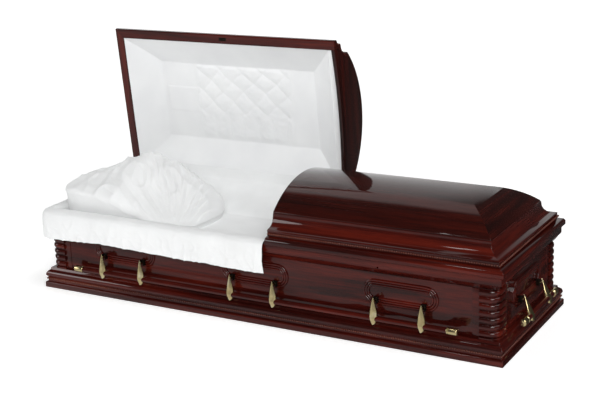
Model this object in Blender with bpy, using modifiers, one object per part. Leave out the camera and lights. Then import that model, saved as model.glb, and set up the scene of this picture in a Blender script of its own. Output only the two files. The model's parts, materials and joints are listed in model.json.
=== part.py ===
"""Half-couch hardwood casket: head lid open, foot lid shut, swing-bar handles all round.

Metres, +Z up. X runs along the casket, from the head at -X to the foot at +X, and the hinges are
at the back, +Y. The origin is at the middle of the underside. Mouldings are drawn as profiles of
(inset from the outline, height) and mitred round the outline.
"""
import math

import bmesh
import bpy
from mathutils import Matrix, Vector

# Outline and clearances
LENGTH = 2.100
WIDTH = 0.690
GAP = 0.0003
SEAM_GAP = 0.0005

# Plinth
PLINTH_HEIGHT = 0.086
PLINTH_BAND = 0.025
PLINTH_TOP_INSET = 0.021
PLINTH_MEMBER_FOOT = 0.050
PLINTH_MEMBER_TOP = 0.073
PLINTH_BREADTH = 0.060
BOTTOM_THICKNESS = 0.014

# Strips of beads
BEAD_RADIUS = 0.0085
BEAD_SEAT = 0.010
BEAD_MARGIN = 0.001
BEAD_SIDES = 5

# Body
WALL_INSET = 0.035
WALL_THICKNESS = 0.018
RIM_FOOT = 0.279
RIM_TOP = 0.335
RIM_FACE_INSET = 0.012
RIM_SLOPE = 0.026
RIM_FOOT_LEDGE = 0.006
RIM_EASE = 0.008
COLUMN_BREADTH = 0.102
COLUMN_FACE_INSET = 0.034
COLUMN_CORNER_RADIUS = 0.045
COLUMN_CORNER_STEPS = 3
COLUMN_FOOT = 0.006
RIB_COUNT = 7
RIB_DEPTH = 0.010
RIB_SHARE = 0.80
RIB_STEPS = 3
PILASTER_BREADTH = 0.028
PILASTER_RELIEF = 0.003
KEYHOLE_X = 0.553
KEYHOLE_HEIGHT = 0.309
KEYHOLE_RADIUS = 0.004
KEYHOLE_DEPTH = 0.014

# Carved rings behind the handle arms
RING_LENGTH = 0.310
RING_HEIGHT = 0.100
RING_BAND = 0.017
RING_DEPTH = 0.005
RING_MIDDLE = 0.204
RING_STEPS = 6

# Lids
LID_SPLIT_X = 0.072
LID_SPLIT_GAP = 0.003
LID_RIM_HEIGHT = 0.029
LID_RIM_BREADTH = 0.040
LID_COVE_INSET = 0.035
LID_COVE_HEIGHT = 0.057
LID_COVE_STEPS = 5
LID_BEAD_SEAT = 0.026
LID_BEAD_LIFT = 0.0135
LID_RIM_ROUND = 0.011
LID_INNER_STEP = 0.012
LID_CORNICE_HEIGHT = 0.110
CROWN_INSET = 0.078
CROWN_RISE = 0.103
CROWN_LIP = 0.004
CROWN_SEAT_STEP = 0.003
CROWN_LEDGE_DEPTH = 0.016
CROWN_THICKNESS = 0.014
CROWN_STEPS = 12
HIP_RUN = 0.225
HEADER_THICKNESS = 0.016
HEADER_ARCH = 0.024
HEADER_ARCH_STEPS = 8
OPEN_ANGLE = 84.5

# Hinges
HINGE_OUTSET = 0.005
HINGE_BARREL_RADIUS = 0.0035
HINGE_PLATE = 0.0020
HINGE_LEAF_HEIGHT = 0.016
HINGE_MARGIN = 0.120
HINGE_CUT_REACH = 0.001
HINGE_KNUCKLES = 9
BARREL_SIDES = 8

# Latch plate in the open lid's front rim
LATCH_X = -0.476
LATCH_LENGTH = 0.036
LATCH_BREADTH = 0.014
LATCH_THICKNESS = 0.002

# Swing-bar handles
ARM_LENGTH = 0.093
ARM_TOP_RADIUS = 0.0048
ARM_WAIST_RADIUS = 0.0070
ARM_EYE_RADIUS = 0.0155
ARM_TIP_RADIUS = 0.0055
ARM_EYE_DISTANCE = 0.068
ARM_PITCH = 0.196
HANDLE_PITCH = 0.6335
SIDE_HANDLE_GROUPS = 3
PIVOT_HEIGHT = 0.174
PIVOT_REACH = 0.015
SIDE_LEAN = 14.0
END_LEAN = 32.0
BAR_RADIUS = 0.0118
SIDE_BAR_LENGTH = 1.752
END_BAR_LENGTH = 0.370
TIP_LENGTH = 0.042
TIP_RADIUS = 0.0144
TIP_CHAMFER = 0.003
BAR_SIDES = 12
EAR_BREADTH = 0.020
EAR_HEIGHT = 0.022
EAR_REACH = 0.020
EAR_SLOT_CLEARANCE = 0.0018

# Cloth
MATTRESS_TOP = 0.270
MATTRESS_EDGE = 0.030
LINING_THICKNESS = 0.008
LID_BORDER = 0.055
LID_PANEL_INSET = 0.130
LID_PANEL_DEPTH = 0.100
LID_BORDER_DEPTH = 0.016
LID_LINING_THICKNESS = 0.006
LID_LINING_DROP = 0.006
PILLOW_SIZE = (0.64, 0.50, 0.282)
PILLOW_END_GAP = 0.077
PILLOW_SIDE_GAP = 0.077
PILLOW_CREST = ((0, 0.585), (0.09, 0.68), (0.16, 0.755), (0.265, 0.80), (0.34, 0.92),
                (0.46, 1.0), (0.60, 0.91), (0.78, 0.72), (0.97, 0.50), (1, 0.45))
PILLOW_FRONT_SHARES = (0.95, 0.42)
PILLOW_CORNER_POWERS = (3.8, 2.3)
PILLOW_SIDES = 20
PILLOW_FOOT_RINGS = ((0.975, 0), (0.985, 0.48))
PILLOW_TOP_RINGS = (1, 0.92, 0.72, 0.4)
PILLOW_SHOULDER = 0.62
THROW_THICKNESS = 0.010
THROW_HEM = 0.226
THROW_INNER_DROP = 0.045
THROW_HANG = 0.002
THROW_SHOULDER = 0.036
THROW_END_GAP = 0.006
THROW_BACK_GAP = 0.030
THROW_CLEARANCE = 0.003
REST_CLEARANCE = 0.001

HALF_LENGTH = LENGTH / 2
HALF_WIDTH = WIDTH / 2
WALL_INNER = WALL_INSET + WALL_THICKNESS
SEAM = RIM_TOP + SEAM_GAP
CROWN_FOOT = SEAM + LID_CORNICE_HEIGHT
PIVOT_Y = HALF_WIDTH + HINGE_OUTSET
PIVOT_Z = SEAM - SEAM_GAP / 2
PLINTH_BEAD_MIDDLE = (PLINTH_BAND + PLINTH_MEMBER_FOOT) / 2
LID_BEAD_MIDDLE = SEAM + LID_RIM_HEIGHT + LID_BEAD_LIFT
SIDE_ANGLES = {"front": 0, "foot": 90, "back": 180, "head": 270}

WOOD = ((0.085, 0.018, 0.014), 0.12, 0.0)
BRASS = ((0.45, 0.36, 0.19), 0.30, 1.0)
DARK_METAL = ((0.06, 0.05, 0.04), 0.35, 1.0)
SATIN = ((0.86, 0.86, 0.88), 0.80, 0.0)


def collection(name):
    """A collection linked to the scene."""
    made = bpy.data.collections.new(name)
    bpy.context.scene.collection.children.link(made)
    return made


def finish(name, look):
    """A material with one colour, roughness and metallic value."""
    colour, roughness, metallic = look
    material = bpy.data.materials.new(name)
    material.use_nodes = True
    shader = material.node_tree.nodes["Principled BSDF"]
    shader.inputs["Base Color"].default_value = (*colour, 1)
    shader.inputs["Roughness"].default_value = roughness
    shader.inputs["Metallic"].default_value = metallic
    material.diffuse_color = (*colour, 1)
    return material


def add_object(name, mesh, look):
    """Puts a mesh into the casket's collection as a named object with its own material."""
    mesh.name = name
    mesh.materials.clear()
    mesh.materials.append(finish(name, look))
    made = bpy.data.objects.new(name, mesh)
    CASKET.objects.link(made)
    return made


def add_cutter(name, mesh):
    """A mesh that only cuts others."""
    made = bpy.data.objects.new(name, mesh)
    made.hide_render = True
    made.display_type = "WIRE"
    CUTTERS.objects.link(made)
    return made


def to_mesh(name, work, smooth=False):
    """Welds a bmesh, turns its faces outwards and gives it back as a mesh."""
    bmesh.ops.remove_doubles(work, verts=work.verts, dist=1e-6)
    bmesh.ops.recalc_face_normals(work, faces=work.faces)
    mesh = bpy.data.meshes.new(name)
    work.to_mesh(mesh)
    work.free()
    if smooth:
        mesh.shade_smooth()
        mesh.set_sharp_from_angle(angle=math.radians(35))
    return mesh


def boolean(target, operation, other):
    """A Boolean modifier with the exact solver."""
    change = target.modifiers.new(other.name, "BOOLEAN")
    change.operation = operation
    change.solver = "EXACT"
    change.object = other


def box_mesh(name, low, high):
    """A box between two corners."""
    work = bmesh.new()
    size = Vector(high) - Vector(low)
    middle = (Vector(high) + Vector(low)) / 2
    place = Matrix.Translation(middle) @ Matrix.Diagonal((*size, 1))
    bmesh.ops.create_cube(work, size=1, matrix=place)
    return to_mesh(name, work)


def extruded_mesh(name, outlines, depth, turn=Matrix()):
    """A flat outline, or one with holes in it, as thick as depth, turned into place."""
    curve = bpy.data.curves.new(name, "CURVE")
    curve.dimensions = "2D"
    curve.fill_mode = "BOTH"
    curve.extrude = depth / 2
    for outline in outlines:
        spline = curve.splines.new("POLY")
        spline.points.add(len(outline) - 1)
        spline.use_cyclic_u = True
        for point, (u, v) in zip(spline.points, outline):
            point.co = (u, v, 0, 1)
    guide = bpy.data.objects.new(name, curve)
    CUTTERS.objects.link(guide)
    mesh = mesh_from(guide)
    mesh.transform(turn)
    return mesh


def mesh_from(guide):
    """Makes a curve object a welded mesh and removes the curve."""
    evaluated = guide.evaluated_get(bpy.context.evaluated_depsgraph_get())
    mesh = bpy.data.meshes.new_from_object(evaluated)
    mesh.transform(guide.matrix_world)
    bpy.data.objects.remove(guide)
    work = bmesh.new()
    work.from_mesh(mesh)
    bpy.data.meshes.remove(mesh)
    return to_mesh("curve", work)


def rectangle(inset):
    """The outline's four corners, drawn in by an inset."""
    x = HALF_LENGTH - inset
    y = HALF_WIDTH - inset
    return [(-x, -y), (x, -y), (x, y), (-x, y)]


def mitred_mesh(name, profile, path, closed):
    """A profile of (inset, height) points swept along the outline with mitred corners.

    A bevelled curve thins its profile at a mitre, so the stations are lofted here.
    """
    work = bmesh.new()
    rows = []
    for inset, height in profile:
        rows.append([work.verts.new((x, y, height)) for x, y in path(inset)])
    stations = len(rows[0])
    for index, row in enumerate(rows):
        after = rows[(index + 1) % len(rows)]
        for here in range(stations if closed else stations - 1):
            there = (here + 1) % stations
            work.faces.new((row[here], row[there], after[there], after[here]))
    if not closed:
        work.faces.new([row[0] for row in rows])
        work.faces.new([row[-1] for row in reversed(rows)])
    return to_mesh(name, work)


def bead_profile(seat_inset, middle_height):
    """A half-round strip whose flat back lies on the seat."""
    back = seat_inset - GAP
    points = []
    for step in range(BEAD_SIDES + 1):
        angle = math.pi * step / BEAD_SIDES - math.pi / 2
        out = BEAD_RADIUS * math.cos(angle)
        points.append((back - out, middle_height + BEAD_RADIUS * math.sin(angle)))
    return points


def build_base():
    """Bottom board, plinth moulding and the plinth's strip of beads."""
    board = rectangle(PLINTH_BREADTH + GAP)
    low = (*board[0], 0)
    high = (*board[2], BOTTOM_THICKNESS)
    add_object("bottom_board", box_mesh("bottom_board", low, high), WOOD)
    profile = [
        (0, 0),
        (0, PLINTH_BAND - 0.003),
        (0.003, PLINTH_BAND),
        (BEAD_SEAT, PLINTH_BAND + 0.002),
        (BEAD_SEAT, PLINTH_MEMBER_FOOT - 0.002),
        (0.005, PLINTH_MEMBER_FOOT),
        (0.0035, PLINTH_MEMBER_FOOT + 0.005),
        (0.0055, PLINTH_MEMBER_TOP - 0.008),
        (0.0110, PLINTH_MEMBER_TOP - 0.001),
        (0.0130, PLINTH_MEMBER_TOP),
        (0.0190, PLINTH_MEMBER_TOP + 0.0035),
        (PLINTH_TOP_INSET, PLINTH_HEIGHT),
        (PLINTH_BREADTH, PLINTH_HEIGHT),
        (PLINTH_BREADTH, 0),
    ]
    add_object("plinth", mitred_mesh("plinth", profile, rectangle, True), WOOD)
    beads = bead_profile(BEAD_SEAT, PLINTH_BEAD_MIDDLE)
    add_object("plinth_beads", mitred_mesh("plinth_beads", beads, rectangle, True), WOOD)


def stadium(middle, length, height):
    """The corners of an outline with two straight sides and round ends."""
    radius = height / 2
    straight = length / 2 - radius
    points = []
    for side in (1, -1):
        for step in range(RING_STEPS + 1):
            angle = math.pi * step / RING_STEPS - math.pi / 2
            u = side * (straight + radius * math.cos(angle))
            v = side * radius * math.sin(angle)
            points.append((middle[0] + u, middle[1] + v))
    return points


def side_turn(side):
    """Turns what is modelled at the front to one of the four sides."""
    return Matrix.Rotation(math.radians(SIDE_ANGLES[side]), 4, "Z")


def side_distance(side):
    """How far a side of the outline lies from the middle."""
    return HALF_WIDTH if side in ("front", "back") else HALF_LENGTH


def arm_groups(side):
    """The middles of the handle arm pairs along a side."""
    if side in ("foot", "head"):
        return [0.0]
    half = (SIDE_HANDLE_GROUPS - 1) / 2
    return [(index - half) * HANDLE_PITCH for index in range(SIDE_HANDLE_GROUPS)]


def build_wall(side):
    """One wall between two corner columns, with its raised ends and carved rings."""
    along = HALF_LENGTH if side in ("front", "back") else HALF_WIDTH
    half = along - COLUMN_BREADTH - GAP
    field = half - PILASTER_BREADTH
    outside = side_distance(side) - WALL_INSET
    raised = outside + PILASTER_RELIEF
    inside = outside - WALL_THICKNESS
    plan = [(-half, inside), (-half, raised), (-field, raised), (-field, outside),
            (field, outside), (field, raised), (half, raised), (half, inside)]
    height = RIM_FOOT - PLINTH_HEIGHT - 2 * GAP
    middle = (RIM_FOOT + PLINTH_HEIGHT) / 2
    turn = side_turn(side) @ Matrix.Rotation(math.pi, 4, "Z") @ Matrix.Translation((0, 0, middle))
    wall = add_object(side + "_wall", extruded_mesh("wall", [plan], height, turn), WOOD)
    for index, place in enumerate(arm_groups(side), 1):
        centre = (place, RING_MIDDLE)
        outer = stadium(centre, RING_LENGTH, RING_HEIGHT)
        inner = stadium(centre, RING_LENGTH - 2 * RING_BAND, RING_HEIGHT - 2 * RING_BAND)
        face = Matrix.Translation((0, -outside, 0)) @ Matrix.Rotation(math.pi / 2, 4, "X")
        turn = side_turn(side) @ face
        name = f"{side}_ring_cutter_{index}"
        cutter = add_cutter(name, extruded_mesh(name, [outer, inner], 2 * RING_DEPTH, turn))
        boolean(wall, "DIFFERENCE", cutter)


def column_plan(face_inset):
    """A corner post's plan at the front left, as (inset from the end, inset from the side)."""
    radius = COLUMN_CORNER_RADIUS - (face_inset - COLUMN_FACE_INSET + RIB_DEPTH)
    centre = face_inset + radius
    points = [(COLUMN_BREADTH, face_inset)]
    for step in range(COLUMN_CORNER_STEPS + 1):
        angle = math.pi / 2 * step / COLUMN_CORNER_STEPS
        points.append((centre - radius * math.sin(angle), centre - radius * math.cos(angle)))
    points.append((face_inset, COLUMN_BREADTH))
    points.append((WALL_INNER, COLUMN_BREADTH))
    points.append((WALL_INNER, WALL_INNER))
    points.append((COLUMN_BREADTH, WALL_INNER))
    return points


def column_levels():
    """The (height, face inset) steps of a column: a foot, then ribs one on another."""
    low = PLINTH_HEIGHT + GAP
    high = RIM_FOOT - GAP
    crest = COLUMN_FACE_INSET - RIB_DEPTH
    levels = [(low, crest), (low + COLUMN_FOOT, crest), (low + COLUMN_FOOT, COLUMN_FACE_INSET)]
    pitch = (high - low - COLUMN_FOOT) / RIB_COUNT
    groove = pitch * (1 - RIB_SHARE) / 2
    for rib in range(RIB_COUNT):
        foot = low + COLUMN_FOOT + rib * pitch + groove
        for step in range(RIB_STEPS + 1):
            angle = math.pi * step / RIB_STEPS
            rise = pitch * RIB_SHARE * (1 - math.cos(angle)) / 2
            levels.append((foot + rise, COLUMN_FACE_INSET - RIB_DEPTH * math.sin(angle)))
    levels.append((high, COLUMN_FACE_INSET))
    return levels


def build_column(name, end, side):
    """A rounded corner column with level ribs, lofted through its plans."""
    work = bmesh.new()
    rows = []
    for height, inset in column_levels():
        row = []
        for from_end, from_side in column_plan(inset):
            x = end * (HALF_LENGTH - from_end)
            y = side * (HALF_WIDTH - from_side)
            row.append(work.verts.new((x, y, height)))
        rows.append(row)
    count = len(rows[0])
    for row, after in zip(rows, rows[1:]):
        for here in range(count):
            there = (here + 1) % count
            work.faces.new((row[here], row[there], after[there], after[here]))
    work.faces.new(rows[0])
    work.faces.new(rows[-1])
    add_object(name, to_mesh(name, work, smooth=True), WOOD)


def build_body_rim():
    """The moulded rim that the lids shut on, with its keyhole at the front."""
    profile = [
        (WALL_INSET, RIM_FOOT),
        (WALL_INSET - RIM_FOOT_LEDGE, RIM_FOOT + RIM_FOOT_LEDGE / 2),
        (RIM_FACE_INSET + RIM_EASE, RIM_FOOT + RIM_SLOPE - RIM_EASE),
        (RIM_FACE_INSET, RIM_FOOT + RIM_SLOPE),
        (RIM_FACE_INSET, RIM_TOP),
        (WALL_INNER, RIM_TOP),
        (WALL_INNER, RIM_FOOT),
    ]
    rim = add_object("body_rim", mitred_mesh("body_rim", profile, rectangle, True), WOOD)
    work = bmesh.new()
    place = Matrix.Translation((KEYHOLE_X, RIM_FACE_INSET - HALF_WIDTH, KEYHOLE_HEIGHT))
    place = place @ Matrix.Rotation(math.radians(90), 4, "X")
    bmesh.ops.create_cone(work, cap_ends=True, segments=BARREL_SIDES, radius1=KEYHOLE_RADIUS,
                          radius2=KEYHOLE_RADIUS, depth=2 * KEYHOLE_DEPTH, matrix=place)
    boolean(rim, "DIFFERENCE", add_cutter("keyhole_cutter", to_mesh("keyhole_cutter", work)))


def lid_path(end, cut):
    """Plan of a lid's three moulded sides, from the cut at the front round to the cut behind."""
    def path(inset_side, inset_end=None):
        inset_end = inset_side if inset_end is None else inset_end
        x = end * (HALF_LENGTH - inset_end)
        y = HALF_WIDTH - inset_side
        return [(cut, -y), (x, -y), (x, y), (cut, y)]
    return path


def cove(foot, head, steps):
    """A quarter hollow between two (inset, height) points, level at its foot."""
    points = []
    for step in range(steps + 1):
        angle = math.pi / 2 * step / steps
        inset = foot[0] + (head[0] - foot[0]) * math.sin(angle)
        height = foot[1] + (head[1] - foot[1]) * (1 - math.cos(angle))
        points.append((inset, height))
    return points


def lid_profile():
    """The lid's moulded rim: a rounded face, a seat for beads, a fillet and a cove to the crown."""
    face_top = SEAM + LID_RIM_HEIGHT
    seat_foot = LID_BEAD_MIDDLE - BEAD_RADIUS - BEAD_MARGIN
    seat_top = LID_BEAD_MIDDLE + BEAD_RADIUS + BEAD_MARGIN
    outer = [
        (0.36 * LID_RIM_ROUND, SEAM),
        (0, SEAM + 0.36 * LID_RIM_ROUND),
        (0, face_top - LID_RIM_ROUND),
        (0.22 * LID_RIM_ROUND, face_top - 0.54 * LID_RIM_ROUND),
        (0.54 * LID_RIM_ROUND, face_top - 0.18 * LID_RIM_ROUND),
        (LID_RIM_ROUND, face_top),
        (LID_BEAD_SEAT - LID_RIM_ROUND / 2, seat_foot - BEAD_MARGIN),
        (LID_BEAD_SEAT, seat_foot),
        (LID_BEAD_SEAT, seat_top),
        (LID_BEAD_SEAT - 2 * BEAD_MARGIN, seat_top + BEAD_MARGIN),
        (LID_BEAD_SEAT, seat_top + 4 * BEAD_MARGIN),
    ]
    edge = CROWN_INSET - CROWN_SEAT_STEP
    outer += cove((LID_COVE_INSET, SEAM + LID_COVE_HEIGHT + 2 * BEAD_MARGIN),
                  (edge, CROWN_FOOT - 2 * CROWN_SEAT_STEP), LID_COVE_STEPS)
    outer.append((edge, CROWN_FOOT))
    wall = CROWN_THICKNESS
    inner = [
        (CROWN_INSET + wall, CROWN_FOOT),
        (CROWN_INSET + wall, CROWN_FOOT - CROWN_LEDGE_DEPTH),
        (LID_RIM_BREADTH + LID_INNER_STEP, SEAM + LID_COVE_HEIGHT - LID_INNER_STEP / 2),
        (LID_RIM_BREADTH, SEAM + LID_RIM_HEIGHT),
        (LID_RIM_BREADTH, SEAM),
    ]
    return outer + inner


def crown_rows(half, rise, foot, hip_inset, hip_run, lip):
    """Rows of (side inset, end inset, height) up a vault from its foot to its ridge."""
    radius = (half ** 2 + rise ** 2) / (2 * rise)
    reach = math.asin(half / radius)
    side_foot = HALF_WIDTH - half
    rows = [(side_foot, hip_inset, foot)]
    for step in range(CROWN_STEPS + 1):
        angle = reach * (1 - step / CROWN_STEPS)
        across = half - radius * math.sin(angle)
        height = foot + lip + rise - radius * (1 - math.cos(angle))
        rows.append((side_foot + across, hip_inset + hip_run * across / half, height))
    return rows


def build_crown(name, end, cut):
    """The vaulted top of a lid, hipped at its outer end and open where the lids part."""
    path = lid_path(end, cut)
    foot = CROWN_FOOT + GAP
    half = HALF_WIDTH - CROWN_INSET
    outer = crown_rows(half, CROWN_RISE - CROWN_LIP, foot, CROWN_INSET, HIP_RUN, CROWN_LIP)
    inner = crown_rows(half - CROWN_THICKNESS, CROWN_RISE - CROWN_THICKNESS, foot,
                       CROWN_INSET + CROWN_THICKNESS, HIP_RUN - CROWN_THICKNESS, 0)
    work = bmesh.new()
    shells = []
    for rows in (outer, inner):
        shell = []
        for side, hip, height in rows:
            shell.append([work.verts.new((x, y, height)) for x, y in path(side, hip)])
        shells.append(shell)
    for shell in shells:
        for row, after in zip(shell, shell[1:]):
            for here in range(3):
                work.faces.new((row[here], row[here + 1], after[here + 1], after[here]))
    out, within = shells
    for here in range(3):
        work.faces.new((out[0][here], out[0][here + 1], within[0][here + 1], within[0][here]))
    for station in (0, 3):
        for low in range(len(out) - 1):
            corners = (out[low][station], out[low + 1][station],
                       within[low + 1][station], within[low][station])
            work.faces.new(corners)
    return add_object(name, to_mesh(name, work, smooth=True), WOOD)


def build_header(name, end, cut):
    """The board that closes a lid where the two lids part."""
    rise = CROWN_RISE - CROWN_THICKNESS
    rows = crown_rows(HALF_WIDTH - CROWN_INSET - CROWN_THICKNESS, rise, CROWN_FOOT + GAP, 0, 1, 0)
    half = [
        (LID_RIM_BREADTH, SEAM),
        (LID_RIM_BREADTH, SEAM + LID_RIM_HEIGHT),
        (LID_RIM_BREADTH + LID_INNER_STEP, SEAM + LID_COVE_HEIGHT - LID_INNER_STEP / 2),
        (CROWN_INSET + CROWN_THICKNESS, CROWN_FOOT - CROWN_LEDGE_DEPTH),
    ]
    half += [(side, height) for side, hip, height in rows]
    clearance = 2 * GAP
    outline = []
    for inset, height in half[:-1]:
        lowered = height - (clearance if height > SEAM else 0)
        outline.append((HALF_WIDTH - inset - clearance, lowered))
    ridge = (0, half[-1][1] - clearance)
    mirrored = [(-y, z) for y, z in reversed(outline)]
    foot = outline[0][0]
    arch = []
    for step in range(1, HEADER_ARCH_STEPS):
        across = foot * (2 * step / HEADER_ARCH_STEPS - 1)
        arch.append((across, SEAM + HEADER_ARCH * (1 - (across / foot) ** 2)))
    turn = Matrix.Rotation(math.radians(90), 4, "Z") @ Matrix.Rotation(math.radians(90), 4, "X")
    place = Matrix.Translation((cut + end * HEADER_THICKNESS / 2, 0, 0)) @ turn
    mesh = extruded_mesh(name, [outline + [ridge] + mirrored + arch], HEADER_THICKNESS, place)
    return add_object(name, mesh, WOOD)


def build_lid(prefix, end):
    """One lid as it lies when shut: moulded rim, strip of beads, crown and header board."""
    cut = LID_SPLIT_X + end * LID_SPLIT_GAP / 2
    path = lid_path(end, cut)
    rim = add_object(prefix + "_rim", mitred_mesh("rim", lid_profile(), path, False), WOOD)
    beads = bead_profile(LID_BEAD_SEAT, LID_BEAD_MIDDLE)
    strip = add_object(prefix + "_beads", mitred_mesh("beads", beads, path, False), WOOD)
    crown = build_crown(prefix + "_crown", end, cut)
    header = build_header(prefix + "_header", end, cut)
    return [rim, strip, crown, header]


def barrel_arc(first, last):
    """Points of the hinge barrel between two angles in degrees, counted from the back."""
    points = []
    for step in range(BARREL_SIDES + 1):
        angle = math.radians(first + (last - first) * step / BARREL_SIDES)
        y = PIVOT_Y + HINGE_BARREL_RADIUS * math.cos(angle)
        points.append((y, PIVOT_Z + HINGE_BARREL_RADIUS * math.sin(angle)))
    return points


def leaf_section(upper):
    """A hinge leaf's section: a plate on the back face, a web and the barrel, as (y, z)."""
    radius = HINGE_BARREL_RADIUS
    tilt = math.degrees(math.asin((radius - HINGE_PLATE) / radius))
    if upper:
        face = HALF_WIDTH + GAP
        outer = face + HINGE_PLATE
        lean = math.degrees(math.acos((PIVOT_Y - outer) / radius))
        top = SEAM + HINGE_LEAF_HEIGHT
        web = PIVOT_Z + radius - HINGE_PLATE
        return [(outer, top), (face, top), (face, web)] + barrel_arc(180 - tilt, 540 - lean)
    face = HALF_WIDTH - RIM_FACE_INSET + GAP
    outer = face + HINGE_PLATE
    web = PIVOT_Z - radius
    low = web - HINGE_LEAF_HEIGHT
    return [(face, web + HINGE_PLATE), (face, low), (outer, low), (outer, web)] \
        + barrel_arc(-90, 180 + tilt)


def build_leaf(name, span, upper):
    """A continuous hinge's leaf, with knuckles on every other space of its length."""
    length = span[1] - span[0]
    turn = Matrix.Rotation(math.radians(90), 4, "Z") @ Matrix.Rotation(math.radians(90), 4, "X")
    place = Matrix.Translation(((span[0] + span[1]) / 2, 0, 0)) @ turn
    leaf = add_object(name, extruded_mesh(name, [leaf_section(upper)], length, place), DARK_METAL)
    plate = HALF_WIDTH if upper else HALF_WIDTH - RIM_FACE_INSET + GAP + HINGE_PLATE
    face = plate + GAP * (-1 if upper else 1)
    outer = PIVOT_Y + HINGE_BARREL_RADIUS + HINGE_CUT_REACH
    low = PIVOT_Z - HINGE_BARREL_RADIUS - HINGE_CUT_REACH
    high = PIVOT_Z + HINGE_BARREL_RADIUS + HINGE_CUT_REACH
    pitch = length / HINGE_KNUCKLES
    for index in range(1 if upper else 0, HINGE_KNUCKLES, 2):
        start = span[0] + index * pitch
        corners = (start - GAP, face, low), (start + pitch + GAP, outer, high)
        cutter = f"{name}_cutter_{index}"
        boolean(leaf, "DIFFERENCE", add_cutter(cutter, box_mesh(cutter, *corners)))
    return leaf


def pivot_empty(name, place, turn=0):
    """An empty on a joint's X axis, turned about it."""
    made = bpy.data.objects.new(name, None)
    made.location = place
    made.rotation_euler = (math.radians(turn), 0, 0)
    CASKET.objects.link(made)
    return made


def hang_on(pivot, place, pieces):
    """Parents pieces and their cutters, modelled as they lie at no turn, to a joint's empty."""
    cutters = [change.object for piece in pieces for change in piece.modifiers
               if change.type == "BOOLEAN"]
    for piece in pieces + cutters:
        piece.parent = pivot
        piece.matrix_parent_inverse = Matrix.Translation(-Vector(place))


def build_latch(rim):
    """The strike plate let into the open lid's front rim."""
    middle_y = LID_RIM_BREADTH / 2 - HALF_WIDTH
    half = Vector((LATCH_LENGTH / 2, LATCH_BREADTH / 2, 0))
    middle = Vector((LATCH_X, middle_y, SEAM))
    pocket = Vector((GAP, GAP, 0))
    low = middle - half - pocket - Vector((0, 0, LATCH_THICKNESS))
    high = middle + half + pocket + Vector((0, 0, LATCH_THICKNESS + 2 * GAP))
    boolean(rim, "DIFFERENCE", add_cutter("latch_pocket", box_mesh("latch_pocket", low, high)))
    plate_low = middle - half + Vector((0, 0, GAP))
    plate_high = middle + half + Vector((0, 0, LATCH_THICKNESS))
    return add_object("latch_plate", box_mesh("latch_plate", plate_low, plate_high), DARK_METAL)


def arm_mesh(lean, along, distance):
    """A drop-shaped arm, hung from its pivot at the front and leaning out."""
    stations = [
        (-0.0045, 0.0034),
        (0, ARM_TOP_RADIUS),
        (0.40 * ARM_EYE_DISTANCE, ARM_WAIST_RADIUS),
        (0.72 * ARM_EYE_DISTANCE, 0.75 * ARM_EYE_RADIUS),
        (ARM_EYE_DISTANCE, ARM_EYE_RADIUS),
        ((ARM_EYE_DISTANCE + ARM_LENGTH) / 2, 0.84 * ARM_EYE_RADIUS),
        (ARM_LENGTH, ARM_TIP_RADIUS),
    ]
    curve = bpy.data.curves.new("arm", "CURVE")
    curve.dimensions = "3D"
    curve.bevel_depth = 1
    curve.bevel_resolution = 1
    curve.use_fill_caps = True
    spline = curve.splines.new("POLY")
    spline.points.add(len(stations) - 1)
    tilt = math.radians(lean)
    for point, (down, radius) in zip(spline.points, stations):
        out = distance + down * math.sin(tilt)
        point.co = (along, -out, PIVOT_HEIGHT - down * math.cos(tilt), 1)
        point.radius = radius
    guide = bpy.data.objects.new("arm", curve)
    CUTTERS.objects.link(guide)
    mesh = mesh_from(guide)
    mesh.shade_smooth()
    return mesh


def build_bar(name, length, place):
    """A turned bar with a thicker tip at each end, lying along X."""
    half = length / 2
    profile = [(0, half), (TIP_RADIUS - TIP_CHAMFER, half), (TIP_RADIUS, half - TIP_CHAMFER),
               (TIP_RADIUS, half - TIP_LENGTH), (BAR_RADIUS, half - TIP_LENGTH)]
    profile += [(radius, -z) for radius, z in reversed(profile)]
    work = bmesh.new()
    points = [work.verts.new((radius, 0, z)) for radius, z in profile]
    for first, second in zip(points, points[1:]):
        work.edges.new((first, second))
    mesh = bpy.data.meshes.new(name)
    work.to_mesh(mesh)
    work.free()
    made = add_object(name, mesh, WOOD)
    screw = made.modifiers.new("turned", "SCREW")
    screw.steps = BAR_SIDES
    screw.render_steps = BAR_SIDES
    screw.use_merge_vertices = True
    screw.merge_threshold = 0.0001
    screw.use_smooth_shade = True
    made.matrix_world = place
    return made


def bar_hole(name, length, place):
    """The cutter that clears the bar through an arm's eye."""
    work = bmesh.new()
    radius = BAR_RADIUS + GAP
    bmesh.ops.create_cone(work, cap_ends=True, segments=BAR_SIDES, radius1=radius, radius2=radius,
                          depth=length)
    cutter = add_cutter(name, to_mesh(name, work))
    cutter.matrix_world = place
    return cutter


def ear_mesh(along, distance):
    """A forked ear on the wall, its slot round the top of an arm."""
    half = EAR_BREADTH / 2
    slot = ARM_TOP_RADIUS + EAR_SLOT_CLEARANCE
    floor = PIVOT_REACH - slot
    wall = distance - PIVOT_REACH + GAP
    outline = [(-half, 0), (-half, EAR_REACH), (-slot, EAR_REACH), (-slot, floor),
               (slot, floor), (slot, EAR_REACH), (half, EAR_REACH), (half, 0)]
    plan = [(along + u, -wall - v) for u, v in outline]
    turn = Matrix.Translation((0, 0, PIVOT_HEIGHT))
    return extruded_mesh("ear", [plan], EAR_HEIGHT, turn)


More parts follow.
